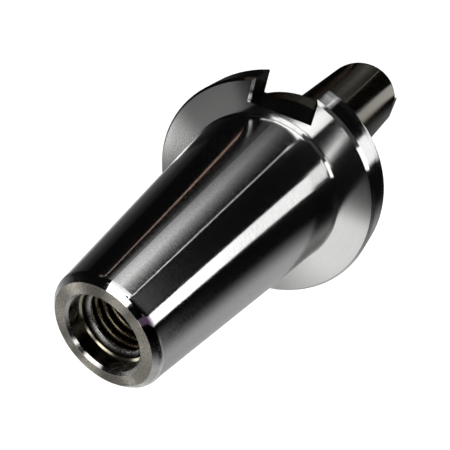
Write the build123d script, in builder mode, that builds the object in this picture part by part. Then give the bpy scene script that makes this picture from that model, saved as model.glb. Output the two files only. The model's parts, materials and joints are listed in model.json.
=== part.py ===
"""Face mill holder with a 7:24 taper shank, standing with the taper up.

The origin is the centre of the gauge plane, where the taper is 44.45 mm across.
+Z runs along the axis towards the small end of the taper.
+X runs through the middle of one drive slot of the flange.
All sizes are in millimetres.
"""
import os
from math import radians, sqrt, tan

from build123d import *

# Taper shank: the diameter shrinks by 7 mm for each 24 mm of length
gauge_diameter = 44.45
taper_ratio = 7 / 24
taper_length = 65.4
small_end_chamfer = 1.15
small_end_blend = 1.5

# Neck between the taper and the flange, with a fine groove and a bevel up to the flange's face
neck_length = 2.0
neck_relief = 0.1
neck_groove_width = 0.3
neck_groove_depth = 0.15
neck_bevel = 0.5

# Flange that seats near the spindle nose
flange_diameter = 63.0
flange_thickness = 9.6
front_chamfer = 0.7
rear_chamfer_length = 1.0
rear_chamfer_depth = 0.15

# Two drive slots, milled right through the flange for the keys of the spindle;
# their floor keeps clear of the neck's bevel in front and of the collar behind
slot_count = 2
slot_width = 16.2
slot_floor_clearance = 1.275
slot_edge_break = 0.75

# Bore in the small end: locating bore, drilled step and thread for the drawbar
locating_bore_diameter = 17.0
locating_bore_depth = 3.6
bore_mouth_chamfer = 0.6
drawbar_thread_diameter = 16.0
drawbar_hole_depth = 43.0
drill_point_angle = 118.0

# Collar behind the flange, turned a little slimmer next to it, and the slim nose that carries the cutter
collar_diameter = 45.2
collar_length = 10.7
collar_relief_length = 4.0
collar_relief_depth = 0.15
collar_edge_break = 0.5
nose_diameter = 28.0
nose_length = 74.1
nose_root_radius = 2.0
nose_edge_break = 0.4

# Pilot for the bore of the cutter, with a grinding relief at its root
pilot_diameter = 16.0
pilot_length = 17.0
pilot_chamfer = 1.0
relief_width = 2.5
relief_depth = 0.3

# Thread for the screw that clamps the cutter
clamp_thread_diameter = 8.0
clamp_hole_depth = 22.0
clamp_mouth_chamfer = 0.6

# Drive keys, pressed into two seats across the end of the nose
key_count = 2
key_width = 8.0
key_seat_depth = 3.0
key_projection = 3.5
key_gap_to_pilot = 0.6
key_gap_to_rim = 0.55
key_edge_break = 0.5

# Stations along the axis, worked out from the sizes above
gauge_radius = gauge_diameter / 2
small_end_radius = gauge_radius - taper_length * taper_ratio / 2
chamfer_start = taper_length - small_end_chamfer
chamfer_start_radius = gauge_radius - chamfer_start * taper_ratio / 2
neck_radius = gauge_radius - neck_relief
neck_groove_radius = neck_radius - neck_groove_depth
flange_front = -neck_length
neck_bevel_start = flange_front + neck_bevel
neck_groove_start = neck_bevel_start + neck_groove_width
flange_rear = flange_front - flange_thickness
flange_radius = flange_diameter / 2
collar_radius = collar_diameter / 2
collar_relief_radius = collar_radius - collar_relief_depth
collar_relief_end = flange_rear - collar_relief_length
collar_rear = flange_rear - collar_length
slot_floor_distance = max(neck_radius + neck_bevel, collar_radius) + slot_floor_clearance
nose_radius = nose_diameter / 2
nose_end = collar_rear - nose_length
pilot_radius = pilot_diameter / 2
pilot_end = nose_end - pilot_length
relief_radius = pilot_radius - relief_depth


def drill_point_height(radius):
    """Height of the cone that a twist drill leaves over the given radius."""
    return radius / tan(radians(drill_point_angle / 2))


def corner(sketch, x, z):
    """The corner of a profile that lies at the given radius and station."""
    return sketch.vertices().sort_by_distance((x, z))[0]


# Body: one turned, milled and ground piece of steel
with BuildPart() as holder_body:
    with BuildSketch(Plane.XZ) as outline:
        with BuildLine():
            Polyline(
                (0, taper_length),
                (small_end_radius - small_end_chamfer, taper_length),
                (chamfer_start_radius, chamfer_start),
                (gauge_radius, 0),
                (neck_radius, 0),
                (neck_radius, neck_groove_start),
                (neck_groove_radius, neck_groove_start),
                (neck_groove_radius, neck_bevel_start),
                (neck_radius, neck_bevel_start),
                (neck_radius + neck_bevel, flange_front),
                (flange_radius - front_chamfer, flange_front),
                (flange_radius, flange_front - front_chamfer),
                (flange_radius, flange_rear + rear_chamfer_length),
                (flange_radius - rear_chamfer_depth, flange_rear),
                (collar_relief_radius, flange_rear),
                (collar_relief_radius, collar_relief_end),
                (collar_radius, collar_relief_end - collar_relief_depth),
                (collar_radius, collar_rear),
                (nose_radius, collar_rear),
                (nose_radius, nose_end),
                (relief_radius, nose_end),
                (relief_radius, nose_end - relief_width),
                (pilot_radius, nose_end - relief_width),
                (pilot_radius, pilot_end),
                (0, pilot_end),
                close=True,
            )
        make_face()
        fillet(corner(outline, chamfer_start_radius, chamfer_start), small_end_blend)
        fillet(corner(outline, nose_radius, collar_rear), nose_root_radius)
        chamfer(corner(outline, collar_radius, collar_rear), collar_edge_break)
        chamfer(corner(outline, nose_radius, nose_end), nose_edge_break)
        chamfer(corner(outline, pilot_radius, pilot_end), pilot_chamfer)
    revolve(axis=Axis.Z)

    # Bore for the drawbar, from the small end of the taper
    locating_radius = locating_bore_diameter / 2
    drawbar_radius = drawbar_thread_diameter / 2
    bore_step = taper_length - locating_bore_depth
    step_height = drill_point_height(locating_radius - drawbar_radius)
    drawbar_floor = taper_length - drawbar_hole_depth
    with BuildSketch(Plane.XZ) as drawbar_profile:
        with BuildLine():
            Polyline(
                (0, taper_length),
                (locating_radius + bore_mouth_chamfer, taper_length),
                (locating_radius, taper_length - bore_mouth_chamfer),
                (locating_radius, bore_step),
                (drawbar_radius, bore_step - step_height),
                (drawbar_radius, drawbar_floor),
                (0, drawbar_floor - drill_point_height(drawbar_radius)),
                close=True,
            )
        make_face()
    revolve(axis=Axis.Z, mode=Mode.SUBTRACT)

    # Hole for the clamping screw of the cutter, from the end of the pilot
    clamp_radius = clamp_thread_diameter / 2
    clamp_floor = pilot_end + clamp_hole_depth
    with BuildSketch(Plane.XZ) as clamp_profile:
        with BuildLine():
            Polyline(
                (0, pilot_end),
                (clamp_radius + clamp_mouth_chamfer, pilot_end),
                (clamp_radius, pilot_end + clamp_mouth_chamfer),
                (clamp_radius, clamp_floor),
                (0, clamp_floor + drill_point_height(clamp_radius)),
                close=True,
            )
        make_face()
    revolve(axis=Axis.Z, mode=Mode.SUBTRACT)

    # Drive slots of the flange; the long edges of their walls are broken at both faces,
    # by no more than half of the wall that a small flange leaves
    slot_reach = flange_radius - slot_floor_distance
    with BuildSketch(Plane.XY.offset(flange_rear)):
        with PolarLocations(slot_floor_distance + slot_reach, slot_count):
            Rectangle(2 * slot_reach, slot_width)
    extrude(amount=flange_thickness, mode=Mode.SUBTRACT)
    wall_end = sqrt((flange_radius - front_chamfer) ** 2 - (slot_width / 2) ** 2)
    wall_reach = wall_end - slot_floor_distance
    chamfer(holder_body.edges().filter_by(Axis.X), min(slot_edge_break, wall_reach / 2))

    # Seats of the drive keys, open to the outside of the nose
    seat_reach = nose_radius - pilot_radius - key_gap_to_pilot
    with BuildSketch(Plane.XY.offset(nose_end)) as seats:
        with PolarLocations(pilot_radius + key_gap_to_pilot + seat_reach, key_count, start_angle=90):
            Rectangle(2 * seat_reach, key_width)
    extrude(amount=key_seat_depth, mode=Mode.SUBTRACT)

# Drive keys: square bars that stand out of the end of the nose
drive_keys = []
key_inner = pilot_radius + key_gap_to_pilot
key_outer = nose_radius - key_gap_to_rim
key_top = nose_end + key_seat_depth
key_height = key_seat_depth + key_projection
for index in range(key_count):
    with BuildPart() as drive_key:
        with BuildSketch(Plane.XY.offset(key_top - key_height)):
            with PolarLocations((key_inner + key_outer) / 2, 1, start_angle=90 + index * 360 / key_count):
                Rectangle(key_outer - key_inner, key_width)
        extrude(amount=key_height)
        chamfer(drive_key.faces().sort_by(Axis.Z)[0].edges(), key_edge_break)
    drive_key.part.label = f"drive_key_{index + 1}"
    drive_keys.append(drive_key)

holder_body.part.label = "holder_body"

os.makedirs("parts", exist_ok=True)
export_step(holder_body.part, "parts/holder_body.step")
for drive_key in drive_keys:
    export_step(drive_key.part, f"parts/{drive_key.part.label}.step")
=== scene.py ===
"""Looks of the face mill holder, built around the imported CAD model.

The frame has its origin at the centre of the gauge plane and +Z up the taper.
Blender works in metres. Stations, radii and the places that materials read are in
millimetres here, and azimuths and elevations are in degrees.
"""
import json
import math
from types import SimpleNamespace

import bmesh
import bpy
from mathutils import Matrix, Vector


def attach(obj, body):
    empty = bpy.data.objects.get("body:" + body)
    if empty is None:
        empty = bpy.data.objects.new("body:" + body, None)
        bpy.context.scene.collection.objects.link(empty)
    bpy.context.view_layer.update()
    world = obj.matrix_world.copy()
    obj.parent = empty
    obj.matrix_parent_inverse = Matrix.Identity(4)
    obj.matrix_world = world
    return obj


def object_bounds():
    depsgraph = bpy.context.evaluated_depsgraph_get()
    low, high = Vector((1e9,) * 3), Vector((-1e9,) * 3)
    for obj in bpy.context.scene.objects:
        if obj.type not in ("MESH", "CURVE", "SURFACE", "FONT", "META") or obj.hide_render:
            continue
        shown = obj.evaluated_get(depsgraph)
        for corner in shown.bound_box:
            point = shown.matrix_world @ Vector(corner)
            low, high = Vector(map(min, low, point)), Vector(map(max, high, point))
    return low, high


MM = 0.001

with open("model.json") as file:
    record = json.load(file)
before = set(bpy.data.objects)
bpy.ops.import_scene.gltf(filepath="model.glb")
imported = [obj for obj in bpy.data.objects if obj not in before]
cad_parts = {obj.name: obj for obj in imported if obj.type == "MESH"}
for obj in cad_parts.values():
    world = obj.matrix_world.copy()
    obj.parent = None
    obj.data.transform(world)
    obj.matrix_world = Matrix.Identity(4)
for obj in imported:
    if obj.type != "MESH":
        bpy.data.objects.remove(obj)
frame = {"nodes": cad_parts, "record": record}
cad_low, cad_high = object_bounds()
holder = frame["nodes"]["holder_body"]
keys = [frame["nodes"]["drive_key_1"], frame["nodes"]["drive_key_2"]]
mounts = {mount["name"]: mount for mount in frame["record"]["mounts"]}

# Stations along the axis
small_end = cad_high[2] / MM
bore_step = 61.8
flange_front = -2.0
flange_rear = -11.6
collar_relief_end = -15.75
nose_end = mounts["cutter_face"]["pos_m"][2] / MM
pilot_end = cad_low[2] / MM

# Radii and half widths
small_end_radius = 11.54
mouth_radius = 9.1
locating_radius = mounts["locating_bore"]["dims"]["r_mm"]
drawbar_radius = mounts["drawbar_thread"]["dims"]["r_mm"]
clamp_radius = mounts["clamp_screw_thread"]["dims"]["r_mm"]
neck_foot_radius = 22.625
collar_radius = 22.6
rim_radius = 31.5
pilot_radius = mounts["cutter_pilot"]["dims"]["r_mm"]
slot_floor_distance = mounts["drive_slot_1"]["pos_m"][0] / MM
slot_half_width = 8.1


class Graph:
    """Short calls for building a node tree."""

    def __init__(self, tree):
        self.tree = tree
        tree.nodes.clear()

    def node(self, kind, **settings):
        made = self.tree.nodes.new(kind)
        for name, value in settings.items():
            setattr(made, name, value)
        return made

    def put(self, socket, value):
        """Links another node's output to the socket, or sets the socket's own value."""
        if isinstance(value, bpy.types.NodeSocket):
            self.tree.links.new(value, socket)
        else:
            socket.default_value = value

    def finish(self, output_kind, result):
        self.put(self.node(output_kind).inputs[0], result)

    def math(self, operation, *values):
        return self.fill(self.node("ShaderNodeMath", operation=operation), values)

    def chain(self, operation, values):
        result = values[0]
        for value in values[1:]:
            result = self.math(operation, result, value)
        return result

    def add(self, *values):
        return self.chain("ADD", values)

    def mul(self, *values):
        return self.chain("MULTIPLY", values)

    def most(self, *values):
        return self.chain("MAXIMUM", values)

    def least(self, *values):
        return self.chain("MINIMUM", values)

    def without(self, value):
        """What is left of 1."""
        return self.math("SUBTRACT", 1.0, value)

    def length(self, x, y):
        return self.math("SQRT", self.add(self.mul(x, x), self.mul(y, y)))

    def angle(self, x, y):
        """Angle of the point x, y from the x axis, in degrees."""
        return self.mul(self.math("ARCTAN2", y, x), 180.0 / math.pi)

    def fill(self, made, values):
        """Feeds the node's first inputs in turn and gives its first output."""
        for socket, value in zip(made.inputs, values):
            self.put(socket, value)
        return made.outputs[0]

    def ramp(self, value, low, high, start=0.0, end=1.0):
        """Runs smoothly from start to end as value goes from low to high."""
        made = self.node("ShaderNodeMapRange", interpolation_type="SMOOTHSTEP")
        return self.fill(made, (value, low, high, start, end))

    def line(self, value, low, high, start=0.0, end=1.0):
        """Runs straight from start to end as value goes from low to high."""
        return self.fill(self.node("ShaderNodeMapRange"), (value, low, high, start, end))

    def band(self, value, low, high, soft):
        """1 between low and high, 0 outside, over a soft edge on each side."""
        rise = self.ramp(value, low - soft, low + soft)
        fall = self.ramp(value, high - soft, high + soft, 1.0, 0.0)
        return self.mul(rise, fall)

    def spot(self, across, up, centre, size, soft):
        """1 in a round patch of the given size about the centre, both in degrees."""
        aside = self.mul(self.add(across, -centre[0]), math.cos(math.radians(centre[1])))
        above = self.add(up, -centre[1])
        return self.ramp(self.length(aside, above), size - soft, size + soft, 1.0, 0.0)

    def mix(self, factor, first, second):
        """A colour between two colours."""
        made = self.node("ShaderNodeMix", data_type="RGBA")
        self.put(made.inputs[0], factor)
        self.put(made.inputs[6], first)
        self.put(made.inputs[7], second)
        return made.outputs[2]

    def blend(self, factor, first, second):
        """A plain number between two numbers."""
        made = self.node("ShaderNodeMix", data_type="FLOAT")
        self.put(made.inputs[0], factor)
        self.put(made.inputs[2], first)
        self.put(made.inputs[3], second)
        return made.outputs[0]

    def vector(self, x, y, z):
        return self.fill(self.node("ShaderNodeCombineXYZ"), (x, y, z))

    def noise(self, vector, scale, detail=2.0, rough=0.5):
        made = self.node("ShaderNodeTexNoise")
        self.put(made.inputs["Vector"], vector)
        made.inputs["Scale"].default_value = scale
        made.inputs["Detail"].default_value = detail
        made.inputs["Roughness"].default_value = rough
        return made.outputs[0]

    def bump(self, height, strength):
        """The surface's normal over fine relief, 0.02 mm high where the height goes from 0 to 1."""
        made = self.node("ShaderNodeBump")
        made.inputs["Distance"].default_value = 0.02 * MM
        self.put(made.inputs["Strength"], strength)
        self.put(made.inputs["Height"], height)
        return made.outputs[0]

    def place(self):
        """x, y and z of the point that is shaded, in mm."""
        made = self.node("ShaderNodeSeparateXYZ")
        self.put(made.inputs[0], self.node("ShaderNodeTexCoord").outputs["Object"])
        return [self.mul(out, 1 / MM) for out in made.outputs]

    def metal(self, **sockets):
        """Ends the tree in a metal whose sockets are given by name, with underscores for spaces."""
        made = self.node("ShaderNodeBsdfPrincipled")
        made.inputs["Metallic"].default_value = 1.0
        for name, value in sockets.items():
            self.put(made.inputs[name.replace("_", " ")], value)
        self.finish("ShaderNodeOutputMaterial", made.outputs[0])


def colour(red, green, blue):
    return (red, green, blue, 1.0)


def new_material(name):
    made = bpy.data.materials.new(name)
    made.use_nodes = True
    return made, Graph(made.node_tree)


def body_zones(g, x, y, z, radius):
    """Masks that are 1 on one part of the body and 0 elsewhere, or nearly so."""
    behind_flange = g.mul(
        g.ramp(z, flange_rear + 0.2, flange_rear - 0.1),
        g.ramp(radius, collar_radius + 0.4, collar_radius + 0.2),
    )
    pilot = g.mul(
        g.ramp(z, nose_end - 0.1, nose_end - 0.5),
        g.ramp(radius, pilot_radius + 1.0, pilot_radius + 0.6),
    )
    film = g.mul(behind_flange, g.without(pilot))
    return SimpleNamespace(
        small_end=g.mul(
            g.ramp(z, small_end - 0.15, small_end - 0.05),
            g.band(radius, mouth_radius + 0.02, small_end_radius - 0.04, 0.04),
        ),
        mouth=g.mul(
            g.ramp(z, small_end - 1.4, small_end - 0.9),
            g.band(radius, locating_radius + 0.04, mouth_radius + 0.02, 0.03),
        ),
        bore=g.mul(
            g.ramp(z, 10.0, 12.0),
            g.ramp(radius, locating_radius + 0.06, locating_radius + 0.02),
        ),
        drilled=g.mul(
            g.band(z, bore_step - 0.4, bore_step + 0.1, 0.1),
            g.band(radius, drawbar_radius + 0.03, locating_radius - 0.03, 0.03),
        ),
        face=g.mul(
            g.band(z, flange_front - 0.3, flange_front + 0.1, 0.05),
            g.ramp(radius, neck_foot_radius - 0.125, neck_foot_radius + 0.075),
        ),
        rear_edge=g.mul(
            g.band(z, flange_rear, flange_rear + 3.2, 0.3),
            g.ramp(radius, rim_radius - 0.7, rim_radius - 0.5),
        ),
        slot=g.mul(
            g.ramp(g.math("ABSOLUTE", y), slot_half_width + 0.1, slot_half_width + 0.02),
            g.ramp(radius, slot_floor_distance - 0.3, slot_floor_distance - 0.1),
            g.ramp(z, flange_front, flange_front - 0.1),
        ),
        film=film,
        collar_relief=g.mul(film, g.ramp(z, collar_relief_end - 0.65, collar_relief_end - 0.15)),
    )


def body_purple_shade(g, z, radius, azimuth, coarse):
    """Mask of the dark, faintly purple patch on one side of the small end's outer band: painted shade
    with a dim purple reflection, where the strip light would glint.
    """
    ragged = g.add(azimuth, g.mul(coarse, 16.0))
    return g.mul(
        g.ramp(z, small_end - 2.2, small_end - 1.0),
        g.ramp(radius, small_end_radius - 0.04, small_end_radius + 0.06),
        g.band(ragged, -50.0, -20.0, 9.0),
    )


def body_colour(g, zone, purple_shade, grit, lines, cloud):
    base = g.add(g.mul(grit, 0.5), g.mul(lines, 0.5))
    base = g.mix(base, colour(0.54, 0.54, 0.535), colour(0.65, 0.65, 0.645))
    base = g.mix(zone.face, base, g.mix(cloud, colour(0.57, 0.565, 0.56), colour(0.62, 0.62, 0.61)))
    turned = g.mix(grit, colour(0.33, 0.305, 0.26), colour(0.66, 0.62, 0.55))
    base = g.mix(zone.small_end, base, turned)
    # Painted shade: the locating bore is dark inside the hole
    base = g.mix(zone.bore, base, colour(0.16, 0.155, 0.15))
    base = g.mix(zone.mouth, base, colour(0.62, 0.61, 0.59))
    brassy = g.mix(cloud, colour(0.80, 0.72, 0.48), colour(0.90, 0.86, 0.74))
    base = g.mix(zone.drilled, base, brassy)
    # Painted shade: the drive slots' walls and floor are near black
    base = g.mix(zone.slot, base, colour(0.010, 0.010, 0.011))
    oxide = g.mix(cloud, colour(0.105, 0.098, 0.080), colour(0.150, 0.138, 0.105))
    base = g.mix(zone.film, base, oxide)
    # Painted shade: the collar's relief beside the flange's rear face is near black
    base = g.mix(zone.collar_relief, base, colour(0.005, 0.004, 0.003))
    # Painted shade with a dim purple reflection, on one side of the small end's outer band
    purple = g.mix(cloud, colour(0.016, 0.010, 0.018), colour(0.040, 0.026, 0.042))
    return g.mix(purple_shade, base, purple)


def body_roughness(g, zone, coarse, grit):
    rough = g.add(0.06, g.mul(coarse, 0.03), g.mul(grit, 0.05))
    rough = g.blend(zone.face, rough, g.add(0.09, g.mul(coarse, 0.03)))
    rough = g.blend(zone.small_end, rough, g.add(0.34, g.mul(grit, 0.05)))
    rough = g.blend(zone.bore, rough, 0.10)
    rough = g.blend(zone.mouth, rough, 0.24)
    rough = g.blend(zone.drilled, rough, 0.28)
    rough = g.blend(zone.rear_edge, rough, 0.17)
    rough = g.blend(zone.slot, rough, 0.22)
    return g.blend(zone.film, rough, g.add(0.20, g.mul(coarse, 0.06)))


def body_steel():
    """The body: ground taper and flange, turned small end, oxide film on collar and nose, and painted
    shade in the locating bore, the drive slots and the collar's relief.
    """
    made, g = new_material("turned_steel")
    x, y, z = g.place()
    radius = g.length(x, y)
    around_x = g.math("DIVIDE", x, g.most(radius, 0.01))
    around_y = g.math("DIVIDE", y, g.most(radius, 0.01))
    along = g.add(z, radius)

    # Grooves of the wheel and of the turning tool run round the axis, specks and clouds do not
    fine_place = g.vector(g.mul(around_x, 14.0), g.mul(around_y, 14.0), g.mul(along, 3.4))
    coarse_place = g.vector(g.mul(around_x, 2.5), g.mul(around_y, 2.5), g.mul(along, 1.1))
    fine = g.noise(fine_place, 1.0, 3.0, 0.6)
    coarse = g.noise(coarse_place, 1.0, 2.0)
    speck = g.noise(g.vector(x, y, z), 2.6, 2.0, 0.7)
    cloud = g.noise(g.vector(x, y, z), 0.09, 3.0)
    grit = g.ramp(speck, 0.30, 0.70)
    lines = g.ramp(fine, 0.35, 0.65)

    zone = body_zones(g, x, y, z, radius)
    # Where the painted purple shade lies on the small end's band
    purple_shade = body_purple_shade(g, z, radius, g.angle(x, y), coarse)
    height = g.add(g.mul(fine, 0.5), g.mul(coarse, 0.3), g.mul(speck, 0.25))
    relief = g.blend(zone.small_end, g.blend(zone.face, 0.42, 0.03), 1.0)
    g.metal(
        Base_Color=body_colour(g, zone, purple_shade, grit, lines, cloud),
        Roughness=body_roughness(g, zone, coarse, grit),
        Anisotropic=1.0,
        Anisotropic_Rotation=0.25,
        Tangent=g.node("ShaderNodeTangent", direction_type="RADIAL", axis="Z").outputs[0],
        Normal=g.bump(height, relief),
    )
    return made


def key_steel():
    """Hardened, darkened bars with ground flanks."""
    made, g = new_material("key_steel")
    x, y, z = g.place()
    grain = g.noise(g.vector(g.mul(x, 6.0), g.mul(y, 0.6), g.mul(z, 6.0)), 1.0, 3.0)
    cloud = g.noise(g.vector(x, y, z), 0.35, 2.0)
    g.metal(
        Base_Color=g.mix(cloud, colour(0.20, 0.19, 0.18), colour(0.34, 0.33, 0.31)),
        Roughness=g.add(0.24, g.mul(grain, 0.12)),
        Normal=g.bump(grain, 0.4),
    )
    return made


def thread_steel(name, crest_radius, root_radius):
    """Cut thread: brownish crests, painted shade in the roots, and near-white crests close to the bore's
    mouth.
    """
    made, g = new_material(name)
    x, y, z = g.place()
    cloud = g.noise(g.vector(x, y, z), 0.5, 3.0)
    grain = g.noise(g.vector(x, y, g.mul(z, 4.0)), 1.6, 3.0)
    crest = g.mix(cloud, colour(0.34, 0.26, 0.15), colour(0.56, 0.49, 0.36))
    crest = g.mix(g.ramp(z, bore_step - 2.6, bore_step - 1.6), crest, colour(0.92, 0.91, 0.89))
    # Painted shade: the roots between the crests are near black, less of them near the bore's mouth
    root = g.mix(cloud, colour(0.012, 0.009, 0.006), colour(0.05, 0.035, 0.02))
    depth = g.line(g.length(x, y), crest_radius, root_radius)
    crest_depth = g.ramp(z, bore_step - 2.4, bore_step - 1.8, 0.45, 0.95)
    g.metal(
        Base_Color=g.mix(g.ramp(depth, 0.10, crest_depth), crest, root),
        Roughness=g.add(0.18, g.mul(grain, 0.16)),
    )
    return made


def object_of(mesh, name, material):
    """Puts a bmesh into the scene, smooth except at edges sharper than 40 degrees."""
    data = bpy.data.meshes.new(name)
    mesh.to_mesh(data)
    mesh.free()
    made = bpy.data.objects.new(name, data)
    bpy.context.scene.collection.objects.link(made)
    data.materials.append(material)
    data.shade_smooth()
    data.set_sharp_from_angle(angle=math.radians(40))
    return made


def dress_cad_nodes():
    """Gives the CAD nodes their materials and leaves their shapes as they are."""
    dark = key_steel()
    for piece, material in [(holder, body_steel())] + [(key, dark) for key in keys]:
        for slot in piece.material_slots:
            slot.material = material


def thread_profile(crest_radius, root_radius, pitch):
    """Offset and radius of the corners of one turn, and of the points halfway between them."""
    flank = (root_radius - crest_radius) * math.tan(math.radians(30))
    crest = pitch / 4
    root = pitch - crest - 2 * flank
    corners = [
        (0.0, crest_radius),
        (crest, crest_radius),
        (crest + flank, root_radius),
        (crest + flank + root, root_radius),
        (pitch, crest_radius),
    ]
    profile = []
    for (start, first), (end, second) in zip(corners, corners[1:]):
        profile.append((start, first))
        profile.append(((start + end) / 2, (first + second) / 2))
    return profile


def thread_sleeve(crest_radius, root_radius, pitch, bottom, top, phase, mouth, columns):
    """Closed sleeve with an internal right-hand thread, all in mm.

    phase lifts the whole helix, and mouth gives the least radius at a station, for a countersink.
    """
    profile = thread_profile(crest_radius, root_radius, pitch)
    count = len(profile)
    start = bottom + phase - 2 * pitch
    rows = (math.ceil((top - bottom) / pitch) + 3) * count
    wall_radius = root_radius + 0.12
    fade = 0.4 * pitch
    nearly = 0.01
    mesh = bmesh.new()

    def vertex(column, radius, station):
        angle = 2 * math.pi * column / columns
        return mesh.verts.new(Vector((radius * math.cos(angle), radius * math.sin(angle), station)) * MM)

    def ring(radius, station):
        return [vertex(column, radius, station) for column in range(columns)]

    low_edge = ring(max(root_radius, mouth(bottom)), bottom)
    high_edge = ring(max(root_radius, mouth(top)), top)

    def inner(column, row):
        """A vertex of the helix, or of the sleeve's edge where the helix runs past an end."""
        turn, step = divmod(row, count)
        offset, radius = profile[step]
        station = start + turn * pitch + offset + pitch * column / columns
        if station <= bottom + nearly:
            return low_edge[column]
        if station >= top - nearly:
            return high_edge[column]
        share = min(1.0, (station - bottom) / fade, (top - station) / fade)
        ridge = root_radius + (radius - root_radius) * share
        return vertex(column, max(ridge, mouth(station)), station)

    grid = [[inner(column, row) for row in range(rows)] for column in range(columns)]
    low_wall = ring(wall_radius, bottom)
    high_wall = ring(wall_radius, top)

    def face(*corners):
        distinct = list(dict.fromkeys(corners))
        if len(distinct) > 2:
            mesh.faces.new(distinct)

    for column in range(columns):
        beyond = (column + 1) % columns
        step = count if beyond == 0 else 0
        near, far = grid[column], grid[beyond]
        for row in range(rows - 1 - count):
            face(near[row], near[row + 1], far[row + 1 + step], far[row + step])
        face(low_wall[column], low_wall[beyond], high_wall[beyond], high_wall[column])
        face(low_edge[column], low_edge[beyond], low_wall[beyond], low_wall[column])
        face(high_edge[column], high_wall[column], high_wall[beyond], high_edge[beyond])
    loose = [corner for corner in mesh.verts if not corner.link_faces]
    bmesh.ops.delete(mesh, geom=loose, context="VERTS")
    bmesh.ops.recalc_face_normals(mesh, faces=mesh.faces)
    return mesh


def add_thread(name, crest_radius, root_radius, **sizes):
    mesh = thread_sleeve(crest_radius, root_radius, **sizes)
    piece = object_of(mesh, name, thread_steel(f"{name}_steel", crest_radius, root_radius))
    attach(piece, "root")


def make_drawbar_thread():
    """M16 x 2 ridges in the plain hole of the CAD model, below the drilled step."""
    drill_slope = math.tan(math.radians(118 / 2))
    add_thread(
        "drawbar_thread",
        crest_radius=6.917,
        root_radius=drawbar_radius - 0.07,
        pitch=2.0,
        bottom=24.0,
        top=bore_step - 0.3,
        phase=1.1,
        mouth=lambda station: locating_radius - (bore_step - station) * drill_slope,
        columns=80,
    )


def make_clamp_thread():
    """M8 x 1.25 ridges in the hole for the clamping screw, above its countersink."""
    first_turn = pilot_end + 0.6
    add_thread(
        "clamp_thread",
        crest_radius=3.32,
        root_radius=clamp_radius - 0.05,
        pitch=1.25,
        bottom=first_turn,
        top=-93.0,
        phase=0.0,
        mouth=lambda station: clamp_radius - (station - first_turn),
        columns=48,
    )


def shown_to_eye_or_gloss(g):
    """1 for rays from the camera, off a glossy surface or through glass."""
    path = g.node("ShaderNodeLightPath").outputs
    return g.most(path["Is Camera Ray"], path["Is Glossy Ray"], path["Is Transmission Ray"])


def make_floor():
    """Pale floor under the pilot. It keeps the shadow and fades to white far from the object."""
    made, g = new_material("floor")
    diffuse = g.node("ShaderNodeBsdfDiffuse")
    diffuse.inputs[0].default_value = colour(0.8, 0.8, 0.8)
    x, y, _ = g.place()
    far = g.ramp(g.length(x, y), 250.0, 900.0)
    glow = g.node("ShaderNodeEmission")
    g.put(glow.inputs["Strength"], g.mul(shown_to_eye_or_gloss(g), g.blend(far, 0.54, 0.70)))
    both = g.node("ShaderNodeAddShader")
    g.put(both.inputs[0], diffuse.outputs[0])
    g.put(both.inputs[1], glow.outputs[0])
    g.finish("ShaderNodeOutputMaterial", both.outputs[0])
    mesh = bmesh.new()
    bmesh.ops.create_grid(mesh, x_segments=1, y_segments=1, size=4.0)
    bmesh.ops.translate(mesh, verts=mesh.verts, vec=(0, 0, pilot_end * MM))
    object_of(mesh, "floor", made)


def make_world():
    """White surroundings, which light matt surfaces less than they show."""
    world = bpy.data.worlds.new("studio")
    bpy.context.scene.world = world
    world.use_nodes = True
    g = Graph(world.node_tree)
    sky = g.node("ShaderNodeBackground")
    sky.inputs["Color"].default_value = colour(1.0, 1.0, 1.0)
    g.put(sky.inputs["Strength"], g.blend(shown_to_eye_or_gloss(g), 0.44, 1.0))
    g.finish("ShaderNodeOutputWorld", sky.outputs[0])


def card_places(g):
    """Where a point of the cards lies, as seen from the origin of the frame.

    azimuth runs from +X and behind runs from -X. upper is 1 on the wall and the dome and 0 on
    the cards' floor, where near and under are 1 close to the axis. lean grows towards the top.
    """
    x, y, z = g.place()
    reach = g.length(x, y)
    elevation = g.angle(reach, z)
    return SimpleNamespace(
        reach=reach,
        elevation=elevation,
        azimuth=g.angle(x, y),
        behind=g.angle(g.mul(x, -1.0), g.mul(y, -1.0)),
        upper=g.ramp(elevation, -12.0, -4.0),
        near=g.ramp(reach, 160.0, 75.0),
        under=g.ramp(reach, 60.0, 35.0),
        lean=g.line(elevation, 55.0, 75.0, 0.0, 15.0),
    )


def strip_light(g, at):
    """Tall white strip, the brightest line down the taper."""
    start = g.ramp(g.add(at.azimuth, at.lean, g.mul(at.near, 6.0)), -71.1, -69.5)
    end = g.ramp(g.add(at.azimuth, at.lean), -53.8, -52.2, 1.0, 0.0)
    on_floor = g.ramp(at.reach, 215.0, 330.0, 1.40, 2.2)
    return g.mul(start, end, g.blend(at.upper, on_floor, 2.0))


def satin_light(g, at):
    """Broad light that grows across the cards' floor, the satin part of the taper."""
    rise = g.line(at.azimuth, -16.0, 9.0)
    fall = g.add(at.azimuth, g.line(at.reach, 200.0, 350.0, 0.0, -4.0))
    across = g.mul(rise, rise, g.ramp(fall, 8.0, 22.0, 1.0, 0.3), g.ramp(fall, 27.0, 32.0, 1.0, 0.0))
    outward = g.add(g.line(at.reach, 100.0, 390.0, 0.02, 1.0), g.mul(at.under, 0.25))
    return g.mul(across, outward, g.without(at.upper))


def panel_light(g, at):
    """Wide white panel on the wall and the dome, above the satin light."""
    edge = g.line(at.elevation, 22.0, 43.0, 22.0, 37.0)
    leaning = g.add(at.azimuth, g.mul(at.lean, 0.5))
    start = g.ramp(leaning, -16.0, -13.0)
    end = g.ramp(g.add(leaning, g.mul(edge, -1.0)), -2.0, 2.0, 1.0, 0.0)
    return g.mul(
        start,
        end,
        g.band(at.elevation, -8.0, 82.0, 3.0),
        g.ramp(at.elevation, 25.0, 38.0, 1.4, 3.0),
    )


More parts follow.
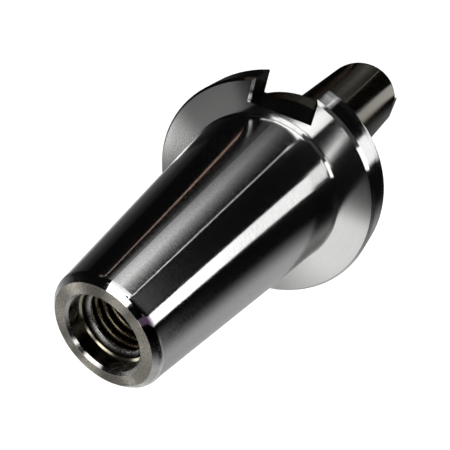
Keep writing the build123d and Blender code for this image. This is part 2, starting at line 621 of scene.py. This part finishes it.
def copper_line(g, at):
    """Thin copper edge of a card, lying on the floor."""
    outward = g.least(g.add(at.reach, -150.0), 230.0)
    leaning = g.add(at.azimuth, g.mul(outward, 0.0067))
    level = g.line(at.reach, 200.0, 330.0, 1.0, 0.7)
    return g.mul(g.band(leaning, 40.8, 41.8, 0.25), level, g.without(at.upper))


def copper_glow(g, at):
    """Fainter glow where the copper edge goes on up the wall."""
    return g.mul(g.band(at.azimuth, 40.5, 45.5, 1.5), g.band(at.elevation, -8.0, 9.0, 2.0), 0.25)


def thin_lights(g, at):
    """Pale line down the taper, and lesser light for the rim, the chamfers and the taper's side."""
    on_floor = g.without(at.upper)
    pale_level = g.line(at.reach, 180.0, 400.0, 0.8, 1.6)
    pale = g.mul(g.band(at.azimuth, -14.9, -13.8, 0.2), pale_level, on_floor)
    dim = g.mul(g.band(at.azimuth, -50.0, -15.0, 2.0), g.band(at.elevation, 14.0, 32.0, 3.0), 0.07)
    front = g.mul(g.band(at.azimuth, -50.0, -17.0, 4.0), 0.12)
    side = g.ramp(at.azimuth, -74.0, -100.0, 0.0, 0.28)
    horizon = g.mul(g.add(front, side), g.band(at.elevation, -15.0, 8.0, 3.0))
    near_glow = g.mul(g.band(at.azimuth, -17.0, -7.0, 1.5), g.band(at.reach, 64.0, 79.5, 2.0), 0.9)
    return g.add(pale, dim, horizon, near_glow)


def softboxes(g, at):
    """Small bright boxes, most of them high on the far side, for the flange and the small end."""
    edge = g.mul(g.band(at.azimuth, -112.3, -108.4, 0.6), g.band(at.elevation, 18.4, 20.6, 0.6), 0.5)
    left = g.mul(g.spot(at.behind, at.elevation, (-56.0, 42.5), 5.0, 4.0), 6.0)
    right = g.mul(g.spot(at.behind, at.elevation, (-6.0, 56.0), 8.0, 5.0), 1.2)
    right = g.mul(right, g.ramp(at.elevation, 58.5, 61.5, 1.0, 0.0))
    low = g.mul(g.spot(at.behind, at.elevation, (-17.0, 47.0), 2.5, 1.5), 3.0)
    return g.add(edge, left, right, low)


def card_cover(g, at, boxes):
    """Share of the white surroundings that the cards hide; the rest shows through them."""
    shift = g.add(at.azimuth, g.mul(at.near, 14.0), g.mul(at.under, -26.0))
    right_floor = g.ramp(shift, -136.0, -96.0, 0.55, 1.0)
    right = g.blend(at.upper, right_floor, g.ramp(at.azimuth, -150.0, -117.0, 0.3, 1.0))
    gap = g.add(
        g.ramp(at.azimuth, 72.0, 80.0, 0.0, 0.014),
        g.ramp(at.azimuth, 80.0, 112.0, 0.0, 0.09),
        g.ramp(at.azimuth, 109.0, 138.0, 0.0, 0.89),
    )
    level = g.band(at.elevation, -6.0, 32.0, 4.0)
    level_gap = g.mul(level, g.ramp(at.azimuth, 88.0, 142.0, 0.0, 0.85))
    left = g.without(g.most(g.mul(gap, g.blend(at.upper, 1.0, 0.3)), level_gap))
    sides = g.most(g.least(right, left), g.mul(at.near, 0.7))
    far_side = g.ramp(g.math("ABSOLUTE", at.behind), 25.0, 45.0, 0.7, 0.5)
    far_side = g.mul(at.upper, far_side, g.blend(level, 1.0, 0.5))
    ceiling = g.ramp(at.elevation, 57.0, 61.0)
    cover = g.most(sides, ceiling, far_side, g.least(boxes, 1.0))
    return g.add(0.2, g.mul(cover, 0.8))


def card_material():
    """Light that the cards carry and how much of the white surroundings they hide."""
    made, g = new_material("flags")
    at = card_places(g)
    line = copper_line(g, at)
    glow = copper_glow(g, at)
    boxes = softboxes(g, at)
    tint = g.mix(line, colour(1.0, 1.0, 1.0), colour(1.0, 0.62, 0.47))
    tint = g.mix(g.least(g.mul(glow, 4.0), 1.0), tint, colour(1.0, 0.72, 0.58))
    black_card = 0.004
    light = g.add(strip_light(g, at), satin_light(g, at), panel_light(g, at), thin_lights(g, at))
    emission = g.node("ShaderNodeEmission")
    g.put(emission.inputs["Color"], tint)
    g.put(emission.inputs["Strength"], g.add(light, boxes, line, glow, black_card))
    both = g.node("ShaderNodeMixShader")
    g.put(both.inputs[0], card_cover(g, at, boxes))
    g.put(both.inputs[1], g.node("ShaderNodeBsdfTransparent").outputs[0])
    g.put(both.inputs[2], emission.outputs[0])
    g.finish("ShaderNodeOutputMaterial", both.outputs[0])
    return made


def card_outline():
    """Radius and height of the cards in mm: a floor just over the real one, a wall and a dome."""
    size = 500.0
    wall_top = 40.0
    floor = pilot_end + 1.0
    outline = [(6.0, floor), (100.0, floor), (size, floor), (size, 0.0), (size, wall_top)]
    for degrees in range(6, 90, 6):
        angle = math.radians(degrees)
        outline.append((size * math.cos(angle), wall_top + size * math.sin(angle)))
    return outline


def make_cards():
    """Black cards, strips and softboxes round the object, seen in reflections only."""
    columns = 96
    turns = [2 * math.pi * column / columns for column in range(columns)]
    mesh = bmesh.new()
    rings = []
    for radius, height in card_outline():
        corners = [Vector((radius * math.cos(turn), radius * math.sin(turn), height)) for turn in turns]
        rings.append([mesh.verts.new(corner * MM) for corner in corners])
    for low, high in zip(rings, rings[1:]):
        for column in range(columns):
            beyond = (column + 1) % columns
            mesh.faces.new((low[column], low[beyond], high[beyond], high[column]))
    mesh.faces.new(rings[-1])
    cards = object_of(mesh, "flags", card_material())
    for kind in ("camera", "diffuse", "transmission", "volume_scatter", "shadow"):
        setattr(cards, f"visible_{kind}", False)


def make_lamp(name, place, target, size, watts):
    """Round soft lamp. The cards stand in for it in reflections."""
    data = bpy.data.lights.new(name, "AREA")
    data.shape = "DISK"
    data.size = size
    data.energy = watts
    lamp = bpy.data.objects.new(name, data)
    bpy.context.scene.collection.objects.link(lamp)
    lamp.location = place
    lamp.rotation_euler = (Vector(target) - Vector(place)).to_track_quat("-Z", "Y").to_euler()
    lamp.visible_camera = False
    lamp.visible_glossy = False


def make_camera():
    """The camera that the photograph's circles and outlines give.

    It stands in the direction of the azimuth and elevation, rolled about its own axis.
    """
    azimuth, elevation, roll = (math.radians(angle) for angle in (-33.4, 46.616, -127.786))
    data = bpy.data.cameras.new("camera")
    data.sensor_width = 36.0
    data.lens = 44.723
    data.shift_x = 0.12576
    data.shift_y = -0.03178
    data.clip_start = 0.005
    data.clip_end = 50.0
    camera = bpy.data.objects.new("camera", data)
    bpy.context.scene.collection.objects.link(camera)
    turn = Matrix.Rotation(azimuth + math.pi / 2, 4, "Z")
    tilt = Matrix.Rotation(math.pi / 2 - elevation, 4, "X")
    eye = Matrix.Translation(Vector((80.404, -40.148, 124.555)) * MM)
    camera.matrix_world = eye @ turn @ tilt @ Matrix.Rotation(roll, 4, "Z")
    bpy.context.scene.camera = camera


dress_cad_nodes()
make_drawbar_thread()
make_clamp_thread()
make_floor()
make_world()
make_cards()
make_lamp("soft_light", place=(0.5, -0.35, 0.9), target=(0, 0, 0), size=0.8, watts=9.0)
make_camera()
bpy.context.scene.view_settings.view_transform = "Standard"
